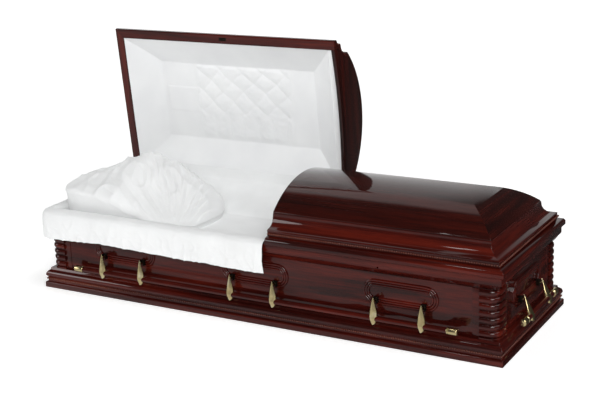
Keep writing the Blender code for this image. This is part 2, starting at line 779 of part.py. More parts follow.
def build_handle(side, separate):
    """A side's swing bar, its arms and the ears they hang from."""
    lean = SIDE_LEAN if side in ("front", "back") else END_LEAN
    length = SIDE_BAR_LENGTH if side in ("front", "back") else END_BAR_LENGTH
    distance = side_distance(side) - WALL_INSET + PIVOT_REACH
    tilt = math.radians(lean)
    out = distance + ARM_EYE_DISTANCE * math.sin(tilt)
    height = PIVOT_HEIGHT - ARM_EYE_DISTANCE * math.cos(tilt)
    turn = side_turn(side)
    bar_place = turn @ Matrix.Translation((0, -out, height)) \
        @ Matrix.Rotation(math.radians(90), 4, "Y")
    pivot_place = turn @ Vector((0, -distance, PIVOT_HEIGHT))
    pivot = pivot_empty(side + "_bar_pivot", pivot_place)
    bar = build_bar(side + "_swing_bar", length, bar_place)
    moving = []
    places = [group + end * ARM_PITCH / 2 for group in arm_groups(side) for end in (-1, 1)]
    for number, along in enumerate(places, 1):
        ear = ear_mesh(along, distance)
        ear.transform(turn)
        add_object(f"{side}_ear_{number}", ear, BRASS)
        arm = arm_mesh(lean, along, distance)
        arm.transform(turn)
        if separate:
            piece = add_object(f"{side}_arm_{number}", arm, BRASS)
            hole = bar_hole(f"{side}_arm_hole_{number}", length, bar_place)
            boolean(piece, "DIFFERENCE", hole)
            moving.append(piece)
        else:
            boolean(bar, "UNION", add_cutter(f"{side}_arm_{number}", arm))
    hang_on(pivot, pivot_place, moving + [bar])


def build_bed():
    """The mattress and the cloth-covered lining round the inside of the walls."""
    side = WALL_INNER + LINING_THICKNESS + 2 * GAP
    side = max(side, PLINTH_BREADTH + GAP)
    corners = rectangle(side)
    low = (*corners[0], BOTTOM_THICKNESS + GAP)
    high = (*corners[2], MATTRESS_TOP)
    mattress = add_object("mattress", box_mesh("mattress", low, high), SATIN)
    soften = mattress.modifiers.new("soft_edges", "BEVEL")
    soften.width = MATTRESS_EDGE
    soften.segments = 2
    inner = WALL_INNER + GAP
    outer = WALL_INNER + LINING_THICKNESS
    foot = PLINTH_HEIGHT + GAP
    top = RIM_TOP - REST_CLEARANCE
    profile = [(inner, foot), (inner, top), (outer, top), (outer, foot)]
    add_object("body_lining", mitred_mesh("body_lining", profile, rectangle, True), SATIN)


def build_lid_lining(end, cut):
    """The open lid's lining: a flat border, sloping sides and a sunk panel."""
    near = cut + end * (HEADER_THICKNESS + 2 * GAP)
    far = end * (HALF_LENGTH - LID_RIM_BREADTH - 2 * GAP)
    breadth = HALF_WIDTH - LID_RIM_BREADTH - 2 * GAP
    levels = [
        (0, SEAM + LID_LINING_DROP),
        (LID_BORDER, SEAM + LID_BORDER_DEPTH),
        (LID_PANEL_INSET, SEAM + LID_PANEL_DEPTH),
    ]
    work = bmesh.new()
    rows = []
    for inset, height in levels:
        x_near = near + end * inset
        x_far = far - end * inset
        y = breadth - inset
        plan = [(x_near, -y), (x_far, -y), (x_far, y), (x_near, y)]
        rows.append([work.verts.new((px, py, height)) for px, py in plan])
    for row, after in zip(rows, rows[1:]):
        for here in range(4):
            there = (here + 1) % 4
            work.faces.new((row[here], row[there], after[there], after[here]))
    work.faces.new(rows[-1])
    mesh = bpy.data.meshes.new("head_lid_lining")
    work.to_mesh(mesh)
    work.free()
    lining = add_object("head_lid_lining", mesh, SATIN)
    shell = lining.modifiers.new("padding", "SOLIDIFY")
    shell.thickness = LID_LINING_THICKNESS
    shell.offset = 1
    return lining


def pillow_height(along, across):
    """The pillow's height at a place, from the crest's heights and the lower front."""
    for (start, low), (stop, high) in zip(PILLOW_CREST, PILLOW_CREST[1:]):
        if along <= stop:
            break
    crest = low + (high - low) * max(along - start, 0) / (stop - start)
    at_head, at_foot = PILLOW_FRONT_SHARES
    front = at_head + (at_foot - at_head) * along
    return PILLOW_SIZE[2] * crest * (front + (1 - front) * min(2 * across, 1))


def pillow_point(turn, share):
    """A place in the pillow's plan, as shares of its length and breadth."""
    power = PILLOW_CORNER_POWERS[1 if math.cos(turn) > 0 else 0]
    reach = (abs(math.cos(turn)) ** power + abs(math.sin(turn)) ** power) ** (-1 / power)
    return (1 + share * reach * math.cos(turn)) / 2, (1 + share * reach * math.sin(turn)) / 2


def build_pillow():
    """The bunched pillow, high towards the head and low at its front."""
    length, breadth, _ = PILLOW_SIZE
    left = PILLOW_END_GAP - HALF_LENGTH
    front = PILLOW_SIDE_GAP - HALF_WIDTH
    foot = MATTRESS_TOP + GAP
    levels = list(PILLOW_FOOT_RINGS)
    for share in PILLOW_TOP_RINGS:
        swell = (1 - share ** 2.8) ** 0.4
        levels.append((share, PILLOW_SHOULDER + (1 - PILLOW_SHOULDER) * swell))
    work = bmesh.new()
    rows = []
    for share, level in levels:
        row = []
        for side in range(PILLOW_SIDES):
            along, across = pillow_point(math.tau * side / PILLOW_SIDES, share)
            height = foot + level * pillow_height(along, across)
            row.append(work.verts.new((left + along * length, front + across * breadth, height)))
        rows.append(row)
    for row, after in zip(rows, rows[1:]):
        for here in range(PILLOW_SIDES):
            there = (here + 1) % PILLOW_SIDES
            work.faces.new((row[here], row[there], after[there], after[here]))
    work.faces.new(rows[0])
    top = work.verts.new((left + length / 2, front + breadth / 2, foot + pillow_height(0.5, 0.5)))
    for here in range(PILLOW_SIDES):
        work.faces.new((rows[-1][here], rows[-1][(here + 1) % PILLOW_SIDES], top))
    add_object("pillow", to_mesh("pillow", work, smooth=True), SATIN)


def build_throw():
    """The throw folded out over the front rim and round the head end."""
    hang = THROW_HANG
    over = 3 * THROW_HANG
    rest = RIM_TOP + REST_CLEARANCE
    inner = WALL_INNER + LINING_THICKNESS + THROW_CLEARANCE
    drop = rest - THROW_INNER_DROP
    thick = THROW_THICKNESS
    profile = [
        (hang, THROW_HEM),
        (hang - thick, THROW_HEM),
        (hang - 1.1 * thick, rest - THROW_SHOULDER),
        (over - thick, rest + 0.4 * thick),
        (over, rest + thick),
        (inner + 0.6 * thick, rest + thick),
        (inner + thick, rest + 0.5 * thick),
        (inner + thick, drop),
        (inner, drop),
        (inner, rest),
        (hang + 0.1 * thick, rest),
    ]
    right = LID_SPLIT_X - THROW_END_GAP

    def path(inset):
        x = -(HALF_LENGTH - inset)
        y = HALF_WIDTH - inset
        back = HALF_WIDTH - WALL_INNER - THROW_BACK_GAP
        return [(right, -y), (x, -y), (x, back)]
    add_object("throw", mitred_mesh("throw", profile, path, False), SATIN)


def build_lids():
    """Both lids with their hinges, the head lid turned up on its hinge."""
    pivot_place = (0, PIVOT_Y, PIVOT_Z)
    for prefix, end, turn in (("head_lid", -1, -OPEN_ANGLE), ("foot_lid", 1, 0)):
        cut = LID_SPLIT_X + end * LID_SPLIT_GAP / 2
        pieces = build_lid(prefix, end)
        ends = sorted((cut + end * HINGE_MARGIN, end * (HALF_LENGTH - HINGE_MARGIN)))
        build_leaf(prefix + "_hinge_body_leaf", ends, False)
        pieces.append(build_leaf(prefix + "_hinge_lid_leaf", ends, True))
        if prefix == "head_lid":
            pieces.append(build_latch(pieces[0]))
            pieces.append(build_lid_lining(end, cut))
        pivot = pivot_empty(prefix + "_pivot", pivot_place, turn)
        hang_on(pivot, pivot_place, pieces)


def remove_all():
    """Empties the scene."""
    for thing in list(bpy.data.objects):
        bpy.data.objects.remove(thing)


remove_all()
CASKET = collection("casket")
CUTTERS = collection("cutters")
build_base()
for wall_side in ("front", "back", "head", "foot"):
    build_wall(wall_side)
for column_name, column_end, column_side in (("head_front_column", -1, -1),
                                             ("foot_front_column", 1, -1),
                                             ("head_back_column", -1, 1),
                                             ("foot_back_column", 1, 1)):
    build_column(column_name, column_end, column_side)
build_body_rim()
build_lids()
build_bed()
build_pillow()
build_throw()
build_handle("front", True)
build_handle("foot", True)
build_handle("head", False)
build_handle("back", False)
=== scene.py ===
import json
import math

import bmesh
import bpy
from mathutils import Matrix, Vector, noise

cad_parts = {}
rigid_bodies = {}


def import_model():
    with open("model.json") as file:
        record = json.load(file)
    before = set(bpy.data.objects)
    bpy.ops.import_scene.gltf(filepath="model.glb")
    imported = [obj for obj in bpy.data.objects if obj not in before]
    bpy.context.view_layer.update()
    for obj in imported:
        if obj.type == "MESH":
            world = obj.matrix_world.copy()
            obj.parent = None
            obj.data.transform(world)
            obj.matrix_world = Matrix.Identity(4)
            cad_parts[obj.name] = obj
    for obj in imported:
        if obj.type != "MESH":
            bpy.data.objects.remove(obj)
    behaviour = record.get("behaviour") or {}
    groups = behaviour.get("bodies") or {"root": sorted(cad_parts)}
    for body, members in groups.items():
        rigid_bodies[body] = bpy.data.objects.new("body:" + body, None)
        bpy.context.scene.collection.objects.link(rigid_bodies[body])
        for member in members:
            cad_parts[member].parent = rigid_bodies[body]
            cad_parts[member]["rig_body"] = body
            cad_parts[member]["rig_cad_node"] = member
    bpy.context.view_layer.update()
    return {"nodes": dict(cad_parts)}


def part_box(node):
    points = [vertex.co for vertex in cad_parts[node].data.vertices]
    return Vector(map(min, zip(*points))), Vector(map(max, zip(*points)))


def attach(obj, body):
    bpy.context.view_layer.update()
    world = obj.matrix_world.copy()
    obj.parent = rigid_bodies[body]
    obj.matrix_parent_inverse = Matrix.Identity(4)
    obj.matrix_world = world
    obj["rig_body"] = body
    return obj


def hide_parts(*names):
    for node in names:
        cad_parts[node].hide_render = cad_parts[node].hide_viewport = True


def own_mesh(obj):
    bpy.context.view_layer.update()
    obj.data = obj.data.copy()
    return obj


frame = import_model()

# Places taken from the casket's frame, in metres
HALF_LENGTH = 1.050
HALF_WIDTH = 0.345
SEAM = 0.3355
PIVOT = Vector((0, 0.350, 0.33525))
OPEN_ANGLE = math.radians(84.5)
TO_OPEN = (Matrix.Translation(PIVOT) @ Matrix.Rotation(-OPEN_ANGLE, 4, "X")
           @ Matrix.Translation(-PIVOT))
WALL_INSET = 0.035

# Camera, at the photograph's viewpoint
CAMERA_PLACE = (2.5560, -4.3901, 1.9308)
CAMERA_YAW_PITCH_ROLL = (29.7829, 16.6306, -2.2526)
FOCAL_PIXELS = 1293.4
PHOTO_WIDTH = 600
SENSOR_WIDTH = 36


def place_camera():
    """A long lens above the front foot corner, level but for a small roll."""
    yaw, pitch, roll = (math.radians(angle) for angle in CAMERA_YAW_PITCH_ROLL)
    ahead = Vector((-math.sin(yaw) * math.cos(pitch), math.cos(yaw) * math.cos(pitch),
                    -math.sin(pitch)))
    right = Vector((math.cos(yaw), math.sin(yaw), 0))
    up = right.cross(ahead)
    across = right * math.cos(roll) + up * math.sin(roll)
    upward = up * math.cos(roll) - right * math.sin(roll)
    lens = bpy.data.cameras.new("camera")
    lens.sensor_width = SENSOR_WIDTH
    lens.lens = FOCAL_PIXELS / PHOTO_WIDTH * SENSOR_WIDTH
    camera = bpy.data.objects.new("camera", lens)
    bpy.context.scene.collection.objects.link(camera)
    turn = Matrix((across, upward, -ahead)).transposed().to_4x4()
    camera.matrix_world = Matrix.Translation(CAMERA_PLACE) @ turn
    bpy.context.scene.camera = camera


# Editing helpers
def deselect():
    """Leaves edit mode with nothing selected."""
    if bpy.context.mode != "OBJECT":
        bpy.ops.object.mode_set(mode="OBJECT")
    bpy.ops.object.select_all(action="DESELECT")


def only(piece):
    """Selects one object and makes it active."""
    deselect()
    piece.select_set(True)
    bpy.context.view_layer.objects.active = piece


def started(name):
    """The primitive that has just been added, named."""
    piece = bpy.context.active_object
    piece.name = name
    piece.data.name = name
    return piece


def apply_modifiers(piece):
    """Applies every modifier on a piece in order."""
    only(piece)
    for modifier in list(piece.modifiers):
        bpy.ops.object.modifier_apply(modifier=modifier.name)


def placed(piece, matrix):
    """Turns a finished mesh into place, with its object left at the origin."""
    piece.data.transform(matrix)
    return piece


def smooth(piece, degrees=35):
    """Smooth shading across edges flatter than an angle."""
    only(piece)
    bpy.ops.object.shade_smooth_by_angle(angle=math.radians(degrees))


def outwards(piece):
    """Welds a mesh and turns its faces out."""
    only(piece)
    bpy.ops.object.mode_set(mode="EDIT")
    bpy.ops.mesh.select_all(action="SELECT")
    bpy.ops.mesh.remove_doubles(threshold=0.00002)
    bpy.ops.mesh.normals_make_consistent(inside=False)
    bpy.ops.object.mode_set(mode="OBJECT")


def eased(piece, width, segments=2, degrees=30):
    """Rounds a piece's edges as sanding and lacquer do."""
    bevel = piece.modifiers.new("eased edges", "BEVEL")
    bevel.width = width
    bevel.segments = segments
    bevel.limit_method = "ANGLE"
    bevel.angle_limit = math.radians(degrees)
    bevel.harden_normals = False
    apply_modifiers(piece)


def swept(name, rings, closed=False):
    """A ring of points extruded from place to place, its ends filled or joined to each other."""
    deselect()
    bpy.ops.mesh.primitive_circle_add(vertices=len(rings[0]))
    piece = started(name)
    for vertex, point in zip(piece.data.vertices, rings[0]):
        vertex.co = point
    bpy.ops.object.mode_set(mode="EDIT")
    bpy.ops.mesh.select_all(action="SELECT")
    if not closed:
        bpy.ops.mesh.edge_face_add()
        bpy.ops.mesh.select_all(action="SELECT")
    for ring in rings[1:] + (rings[:1] if closed else []):
        bpy.ops.mesh.extrude_region()
        work = bmesh.from_edit_mesh(piece.data)
        fresh = [vertex for vertex in work.verts if vertex.select]
        for vertex, point in zip(fresh, ring):
            vertex.co = point
        bmesh.update_edit_mesh(piece.data)
    outwards(piece)
    return piece


def joined(pieces, name):
    """Several meshes made one."""
    deselect()
    for piece in pieces:
        piece.select_set(True)
    bpy.context.view_layer.objects.active = pieces[0]
    bpy.ops.object.join()
    return started(name)


def dressed(node, width):
    """A CAD node's shape, welded and with its edges eased, that stands for the node."""
    source = frame["nodes"][node]
    piece = source.copy()
    piece.data = source.data.copy()
    piece.name = node + "_finished"
    piece.parent = None
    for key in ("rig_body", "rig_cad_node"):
        del piece[key]
    bpy.context.scene.collection.objects.link(piece)
    outwards(piece)
    only(piece)
    bpy.ops.object.mode_set(mode="EDIT")
    bpy.ops.mesh.select_all(action="SELECT")
    bpy.ops.mesh.dissolve_limited(angle_limit=math.radians(0.5))
    bpy.ops.object.mode_set(mode="OBJECT")
    bpy.ops.mesh.customdata_custom_splitnormals_clear()
    eased(piece, width)
    smooth(piece)
    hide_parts(node)
    return piece


def given(piece, material, body):
    """Gives a piece its finish and lets it ride on a body."""
    piece.data.materials.clear()
    piece.data.materials.append(material)
    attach(piece, body)
    return piece


# Materials
def linear(code):
    """An sRGB hex value as the linear colour that a socket takes."""
    channels = []
    for start in (0, 2, 4):
        value = int(code[start:start + 2], 16) / 255
        channels.append(value / 12.92 if value <= 0.04045 else ((value + 0.055) / 1.055) ** 2.4)
    return (*channels, 1)


def add(tree, kind, links=(), **settings):
    """A node with its settings: attributes by name, sockets by a name or number in inputs."""
    node = tree.nodes.new("ShaderNode" + kind)
    for socket, value in settings.pop("inputs", {}).items():
        node.inputs[socket].default_value = value
    for name, value in settings.items():
        setattr(node, name, value)
    for socket, source in links:
        tree.links.new(source, node.inputs[socket])
    return node


def surface(name):
    """A new material with its tree and its Principled node."""
    material = bpy.data.materials.new(name)
    material.use_nodes = True
    tree = material.node_tree
    return material, tree, tree.nodes["Principled BSDF"]


def ramp(tree, source, stops):
    """A colour ramp of (place, hex) stops."""
    node = add(tree, "ValToRGB", [("Fac", source)])
    band = node.color_ramp
    band.elements[0].position, band.elements[-1].position = stops[0][0], stops[-1][0]
    band.elements[0].color, band.elements[-1].color = linear(stops[0][1]), linear(stops[-1][1])
    for place, code in stops[1:-1]:
        band.elements.new(place).color = linear(code)
    return node


GRAIN_ALONG, GRAIN_ACROSS = 1.3, 26
GRAIN_STOPS = (0.45, 0.62, 0.80)


def lacquered_cherry(name, tones, hip=(0.705, 1.0), open_lid=False):
    """Hardwood in dark cherry stain under rubbed lacquer: deep red brown, with a clear wet gloss.

    The grain runs along each member, so it turns at the mitres, and its figure is broad streaks
    of 20 to 40 mm with pores of about 2 mm, drawn coarser than real ones so that they show.
    The mitre stands at x = hip[0] + hip[1] * y, both without their sign. The open head lid's
    wood is turned back to its shut place first, so that its grain follows the same mitres.
    """
    material, tree, shader = surface(name)
    here = add(tree, "TexCoord").outputs["Object"]
    if open_lid:
        moved = add(tree, "Mapping", [("Vector", here)], inputs={"Location": -PIVOT})
        here = add(tree, "Mapping", [("Vector", moved.outputs[0])],
                   inputs={"Location": PIVOT, "Rotation": (OPEN_ANGLE, 0, 0)}).outputs[0]
    split = add(tree, "SeparateXYZ", [("Vector", here)])
    across = add(tree, "Math", [(0, split.outputs["X"])], operation="ABSOLUTE")
    depth = add(tree, "Math", [(0, split.outputs["Y"])], operation="ABSOLUTE")
    reach = add(tree, "Math", [(0, depth.outputs[0])], operation="MULTIPLY_ADD",
                inputs={1: hip[1], 2: hip[0]})
    on_end = add(tree, "Math", [(0, across.outputs[0]), (1, reach.outputs[0])],
                 operation="GREATER_THAN")
    side = add(tree, "Mapping", [("Vector", here)],
               inputs={"Scale": (GRAIN_ALONG, GRAIN_ACROSS, GRAIN_ACROSS)})
    end = add(tree, "Mapping", [("Vector", here)],
              inputs={"Scale": (GRAIN_ACROSS, GRAIN_ALONG, GRAIN_ACROSS)})
    grain = add(tree, "Mix", [("Factor", on_end.outputs[0]), ("A", side.outputs[0]),
                              ("B", end.outputs[0])], data_type="RGBA").outputs["Result"]
    figure = add(tree, "TexNoise", [("Vector", grain)],
                 inputs={"Scale": 1.0, "Detail": 5.0, "Roughness": 0.6, "Distortion": 0.5})
    pores = add(tree, "TexNoise", [("Vector", grain)],
                inputs={"Scale": 11.0, "Detail": 2.0, "Roughness": 0.5})
    blend = add(tree, "Math", [(0, pores.outputs[0]), (2, figure.outputs[0])],
                operation="MULTIPLY_ADD", inputs={1: 0.25})
    tone = ramp(tree, blend.outputs[0], list(zip(GRAIN_STOPS, tones)))
    tree.links.new(tone.outputs[0], shader.inputs["Base Color"])
    shader.inputs["Roughness"].default_value = 0.38
    shader.inputs["IOR"].default_value = 1.50
    shader.inputs["Specular IOR Level"].default_value = 0.03
    shader.inputs["Coat Weight"].default_value = 1.0
    shader.inputs["Coat Roughness"].default_value = 0.045
    shader.inputs["Coat IOR"].default_value = 1.40
    ripple = add(tree, "TexNoise", [("Vector", here)], inputs={"Scale": 9.0, "Detail": 1.0})
    bump = add(tree, "Bump", [("Height", ripple.outputs[0])],
               inputs={"Strength": 0.10, "Distance": 0.004})
    tree.links.new(bump.outputs[0], shader.inputs["Coat Normal"])
    return material


def antique_brass():
    """Cast brass, stained and rubbed back: pale gold, clouded darker where it is duller."""
    material, tree, shader = surface("antique brass")
    here = add(tree, "TexCoord").outputs["Object"]
    cloud = add(tree, "TexNoise", [("Vector", here)], inputs={"Scale": 28.0, "Detail": 2.0})
    tone = ramp(tree, cloud.outputs[0], [(0.30, "C6B283"), (0.55, "DCCA98"), (0.75, "ECE2BE")])
    tree.links.new(tone.outputs[0], shader.inputs["Base Color"])
    rough = add(tree, "MapRange", [("Value", cloud.outputs[0])],
                inputs={"From Min": 0.3, "From Max": 0.7, "To Min": 0.26, "To Max": 0.16})
    tree.links.new(rough.outputs[0], shader.inputs["Roughness"])
    shader.inputs["Metallic"].default_value = 1.0
    return material


def darkened_steel_with_ear_shade():
    """Oil-darkened steel hinge and strike parts: near black, with a dull metal sheen. The forked
    ears take it too, where its near black is partly painted shade for the shadow round the arms'
    tops.
    """
    material, tree, shader = surface("darkened steel with painted ear shade")
    here = add(tree, "TexCoord").outputs["Object"]
    cloud = add(tree, "TexNoise", [("Vector", here)], inputs={"Scale": 120.0, "Detail": 2.0})
    tone = ramp(tree, cloud.outputs[0], [(0.3, "17120F"), (0.7, "332A22")])
    tree.links.new(tone.outputs[0], shader.inputs["Base Color"])
    shader.inputs["Roughness"].default_value = 0.34
    shader.inputs["Metallic"].default_value = 0.9
    return material


def crepe(name, code, crinkle):
    """White crepe: matt, with a soft sheen and a fine crinkle, drawn at 2.5 mm so it shows."""
    material, tree, shader = surface(name)
    here = add(tree, "TexCoord").outputs["Object"]
    cloud = add(tree, "TexNoise", [("Vector", here)], inputs={"Scale": 7.0, "Detail": 3.0})
    tone = ramp(tree, cloud.outputs[0], [(0.25, code), (0.80, "F0F1F1")])
    tree.links.new(tone.outputs[0], shader.inputs["Base Color"])
    stretched = add(tree, "Mapping", [("Vector", here)], inputs={"Scale": (1.0, 0.5, 0.5)})
    weave = add(tree, "TexNoise", [("Vector", stretched.outputs[0])],
                inputs={"Scale": 400.0, "Detail": 2.0})
    bump = add(tree, "Bump", [("Height", weave.outputs[0])],
               inputs={"Strength": crinkle, "Distance": 0.0012})
    tree.links.new(bump.outputs[0], shader.inputs["Normal"])
    shader.inputs["Roughness"].default_value = 0.88
    shader.inputs["Specular IOR Level"].default_value = 0.25
    shader.inputs["Sheen Weight"].default_value = 0.35
    shader.inputs["Sheen Roughness"].default_value = 0.4
    return material


MOULDING_TONES = ("240806", "3B0D08", "54160C")
CROWN_TONES = ("1E0705", "2D0A06", "40110A")
# The beads take lighter tones of the same cherry: a painted highlight, so that each bead reads as
# a light dot.
BEAD_HIGHLIGHT_TONES = ("3C1811", "5A2C21", "744234")
CROWN_HIP = (0.747, 0.843)
MOULDED = lacquered_cherry("lacquered cherry", MOULDING_TONES)
VAULTED = lacquered_cherry("lacquered cherry crown", CROWN_TONES, CROWN_HIP)
OPEN_MOULDED = lacquered_cherry("lacquered cherry open lid", MOULDING_TONES, open_lid=True)
OPEN_VAULTED = lacquered_cherry("lacquered cherry open crown", CROWN_TONES, CROWN_HIP, True)
BOARD = lacquered_cherry("lacquered cherry header", CROWN_TONES, (0, 0))
OPEN_BOARD = lacquered_cherry("lacquered cherry open header", CROWN_TONES, (0, 0), True)
HIGHLIGHT_BEADED = lacquered_cherry("lacquered cherry beads with painted highlight", BEAD_HIGHLIGHT_TONES)
OPEN_HIGHLIGHT_BEADED = lacquered_cherry("lacquered cherry open beads with painted highlight", BEAD_HIGHLIGHT_TONES, open_lid=True)
BRASS = antique_brass()
STEEL_WITH_EAR_SHADE = darkened_steel_with_ear_shade()
CREPE = crepe("white crepe", "E6E7E7", 0.30)
LID_CREPE = crepe("white crepe lid lining", "E8E9EA", 0.22)


# Wood and metal that keep the frame's shapes, with their edges eased by these widths
WOOD_EASE = 0.0011
LEAF_EASE = 0.0003
EAR_EASE = 0.0008
LEAF_BODIES = {"head_lid_hinge_lid_leaf": "head_lid", "latch_plate": "head_lid",
               "foot_lid_hinge_lid_leaf": "foot_lid"}


def body_wood():
    """The plinth, walls and body rim, and both lids' rims, headers and crowns."""
    for node in ("plinth", "body_rim", "bottom_board", "front_wall", "back_wall", "head_wall",
                 "foot_wall"):
        given(dressed(node, WOOD_EASE), MOULDED, "casket_body")
    for lid, rim, header, crown in (("foot_lid", MOULDED, BOARD, VAULTED),
                                    ("head_lid", OPEN_MOULDED, OPEN_BOARD, OPEN_VAULTED)):
        for part, material in (("rim", rim), ("header", header), ("crown", crown)):
            given(dressed(f"{lid}_{part}", WOOD_EASE), material, lid)


def hardware():
    """Hinge leaves, strike plate and the forked ears."""
    for node in frame["nodes"]:
        if "leaf" in node or node == "latch_plate":
            given(dressed(node, LEAF_EASE), STEEL_WITH_EAR_SHADE, LEAF_BODIES.get(node, "casket_body"))
        elif "_ear_" in node:
            # The ears' near-black steel is partly painted shade, standing in for the shadow round
            # the arms' tops.
            given(dressed(node, EAR_EASE), STEEL_WITH_EAR_SHADE, "casket_body")


# Columns
COLUMN_CENTRE = 0.069
COLUMN_EDGE, COLUMN_BACK = 0.102, 0.053
COLUMN_LOW, COLUMN_HIGH = 0.0863, 0.2787
FOOT_INSET, CORE_INSET = 0.0245, 0.034
FOOT_HEIGHT = 0.006
RIBS = 7
RIB_DEPTH = 0.0098


def column_plan(face):
    """A corner post's plan, as (inset from the end, inset from the side)."""
    radius = COLUMN_CENTRE - face
    centre = face + radius
    points = [(COLUMN_EDGE, face)]
    for step in range(11):
        angle = math.pi / 2 * step / 10
        points.append((centre - radius * math.sin(angle), centre - radius * math.cos(angle)))
    points += [(face, COLUMN_EDGE), (COLUMN_BACK, COLUMN_EDGE), (COLUMN_BACK, COLUMN_BACK),
               (COLUMN_EDGE, COLUMN_BACK)]
    return points


def column_levels():
    """The (height, inset) steps up a column: a foot, then seven half-round ribs."""
    low = COLUMN_LOW
    levels = [(low, FOOT_INSET), (low + 0.005, FOOT_INSET), (low + 0.0058, FOOT_INSET + 0.001),
              (low + FOOT_HEIGHT, CORE_INSET)]
    pitch = (COLUMN_HIGH - low - FOOT_HEIGHT) / RIBS
    for rib in range(RIBS):
        foot = low + FOOT_HEIGHT + rib * pitch + 0.07 * pitch
        for step in range(11):
            angle = math.pi * step / 10
            rise = pitch * 0.86 * (1 - math.cos(angle)) / 2
            levels.append((foot + rise, CORE_INSET - RIB_DEPTH * math.sin(angle) ** 0.8))
    return levels + [(COLUMN_HIGH, CORE_INSET)]


def columns():
    """Four ribbed corner columns, of one plan that is mirrored to each corner."""
    for name, end, side in (("head_front_column", -1, -1), ("foot_front_column", 1, -1),
                            ("head_back_column", -1, 1), ("foot_back_column", 1, 1)):
        rings = []
        for height, inset in column_levels():
            rings.append([(end * (HALF_LENGTH - a), side * (HALF_WIDTH - b), height)
                          for a, b in column_plan(inset)])
        piece = swept(name + "_turned", rings)
        smooth(piece, 50)
        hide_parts(name)
        given(piece, MOULDED, "casket_body")


# Strips of beads
BEAD_RADIUS = 0.0042
BEAD_PITCH = 0.0094
PLINTH_BEAD_INSET, PLINTH_BEAD_HEIGHT = 0.0085, 0.0385
LID_BEAD_INSET, LID_BEAD_HEIGHT = 0.0235, 0.3765
LID_SPLIT = 0.072
LID_BEAD_GAP = 0.006


def bead_rows(name, seats, height, node, material, body, matrix=Matrix()):
    """Rows of round beads on a narrow fillet, each row an array along one side."""
    rows = []
    for start, end in seats:
        start, end = Vector((*start, height)), Vector((*end, height))
        count = int((end - start).length / BEAD_PITCH)
        deselect()
        bpy.ops.mesh.primitive_uv_sphere_add(segments=8, ring_count=6, radius=BEAD_RADIUS,
                                             location=start)
        row = started("bead_row")
        bpy.ops.object.transform_apply(location=True, rotation=True, scale=True)
        array = row.modifiers.new("row", "ARRAY")
        array.count = count
        array.use_relative_offset = False
        array.use_constant_offset = True
        array.constant_offset_displace = (end - start) / count
        apply_modifiers(row)
        rows.append(row)
    piece = joined(rows, name)
    placed(piece, matrix)
    smooth(piece, 80)
    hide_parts(node)
    return given(piece, material, body)


def beads():
    """The plinth's and both lids' strips of beads."""
    x, y = HALF_LENGTH - PLINTH_BEAD_INSET, HALF_WIDTH - PLINTH_BEAD_INSET
    around = [((-x, -y), (x, -y)), ((x, -y), (x, y)), ((x, y), (-x, y)), ((-x, y), (-x, -y))]
    bead_rows("plinth_bead_row", around, PLINTH_BEAD_HEIGHT, "plinth_beads", HIGHLIGHT_BEADED,
              "casket_body")
    x, y = HALF_LENGTH - LID_BEAD_INSET, HALF_WIDTH - LID_BEAD_INSET
    for body, end, material, matrix in (("foot_lid", 1, HIGHLIGHT_BEADED, Matrix()),
                                        ("head_lid", -1, OPEN_HIGHLIGHT_BEADED, TO_OPEN)):
        cut = LID_SPLIT + end * LID_BEAD_GAP
        around = [((cut, -y), (end * x, -y)), ((end * x, -y), (end * x, y)),
                  ((end * x, y), (cut, y))]
        bead_rows(body + "_bead_row", around, LID_BEAD_HEIGHT, body + "_beads", material, body,
                  matrix)


# Reeded rings in the walls
RING_MIDDLE = 0.204
RING_LENGTH, RING_HEIGHT = 0.293, 0.083
RING_SINK = 0.005
REEDS = 3
REED_WIDTH = 0.0280 / REEDS
REED_OUTSIDE = -0.0197
GROUPS = (-0.6335, 0, 0.6335)
SIDE_TURNS = {"front": 0, "foot": 90, "back": 180, "head": 270}


def stadium(length, height, steps=14):
    """The points of an outline with straight sides and round ends, and the way out at each."""
    radius = height / 2
    straight = length / 2 - radius
    points = []
    for side in (1, -1):
        for step in range(steps + 1):
            angle = math.pi * step / steps - math.pi / 2
            points.append((side * (straight + radius * math.cos(angle)),
                           side * radius * math.sin(angle),
                           side * math.cos(angle), side * math.sin(angle)))
    return points


def ring(name, along, side, distance):
    """Half-round reeds side by side, swept round a stadium and seated in the wall's recess."""
    section = [(-0.0083, 0.0049), (REED_OUTSIDE, 0.0049), (REED_OUTSIDE, 0.0053)]
    for reed in range(REEDS):
        start = REED_OUTSIDE + reed * REED_WIDTH
        for step in range(1 if reed else 0, 7):
            angle = math.pi * step / 6
            section.append((start + REED_WIDTH * (1 - math.cos(angle)) / 2,
                            0.0056 + 0.0040 * math.sin(angle)))
    section += [(0.0083, 0.0002), (-0.0083, 0.0002)]
    rings = []
    for u, v, out_u, out_v in stadium(RING_LENGTH, RING_HEIGHT):
        rings.append([(along + u + out_u * a, -(distance + h), RING_MIDDLE + v + out_v * a)
                      for a, h in section])
    piece = swept(name, rings, closed=True)
    placed(piece, Matrix.Rotation(math.radians(SIDE_TURNS[side]), 4, "Z"))
    smooth(piece, 50)
    return given(piece, MOULDED, "casket_body")


def rings():
    """One ring behind each pair of handle arms."""
    for side in SIDE_TURNS:
        long_side = side in ("front", "back")
        distance = (HALF_WIDTH if long_side else HALF_LENGTH) - WALL_INSET - RING_SINK
        for number, along in enumerate(GROUPS if long_side else (0,), 1):
            ring(f"{side}_ring_{number}", along, side, distance)


